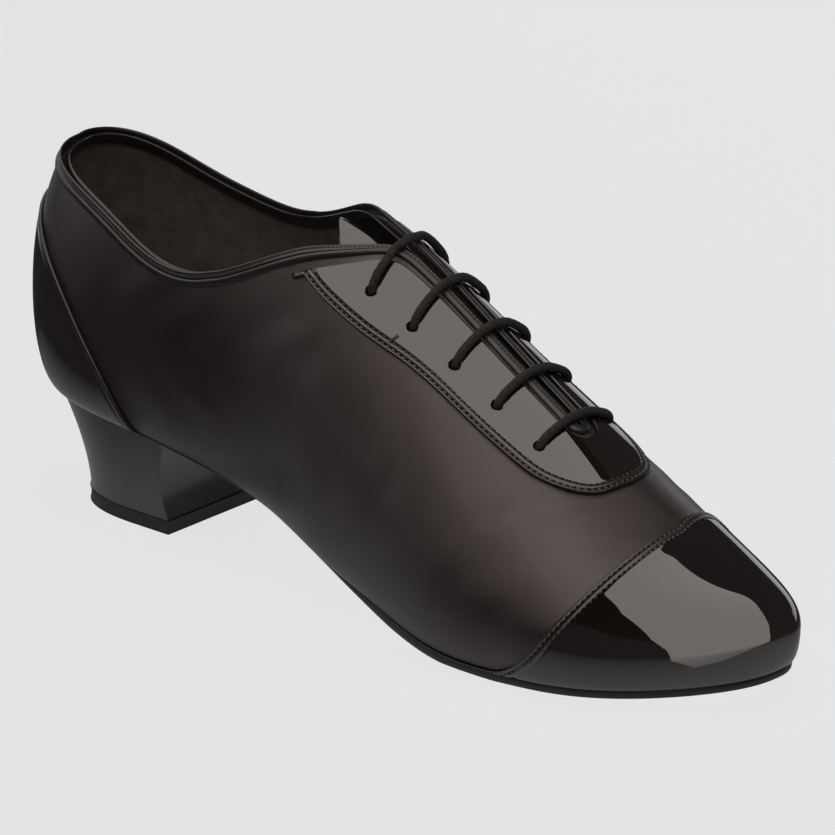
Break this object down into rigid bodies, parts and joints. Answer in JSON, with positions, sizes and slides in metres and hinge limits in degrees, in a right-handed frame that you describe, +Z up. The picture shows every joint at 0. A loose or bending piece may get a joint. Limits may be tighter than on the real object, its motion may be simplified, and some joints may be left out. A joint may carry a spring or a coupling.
{
  "type": "ballroom dance shoe",
  "caption": "Laced oxford dance shoe with a patent toe cap, eyelet panel and heel counter, a suede sole and a flared heel.",
  "frame": {"origin": "middle of the shoe's bounding box, on the plane that the heel and the ball of the sole stand on", "axes": "+X from the heel to the toe, +Y towards the wearer's other foot (inner side), +Z up; the outer side is -Y"},
  "size_m": [0.2848, 0.0884, 0.1098],
  "materials": {
    "upper": "satin fine-grain leather",
    "toe_cap": "patent leather, high gloss",
    "eyelet_panel": "patent leather, high gloss",
    "heel_counter": "patent leather, high gloss",
    "topline_binding": "rolled leather binding, satin",
    "tongue": "patent leather, high gloss",
    "insole": "suede sock",
    "outsole": "suede dance sole with a dyed edge",
    "heel": "covered heel block, gloss",
    "heel_top_piece": "matt rubber",
    "lace": "round waxed cord"
  },
  "bodies": {
    "root": {"upper": "upper", "toe_cap": "toe_cap", "eyelet_panel": "eyelet_panel", "heel_counter": "heel_counter", "topline_binding": "topline_binding", "tongue": "tongue", "insole": "insole", "outsole": "outsole", "heel": "heel", "heel_top_piece": "heel_top_piece", "lace": "lace"}
  },
  "joints": []
}
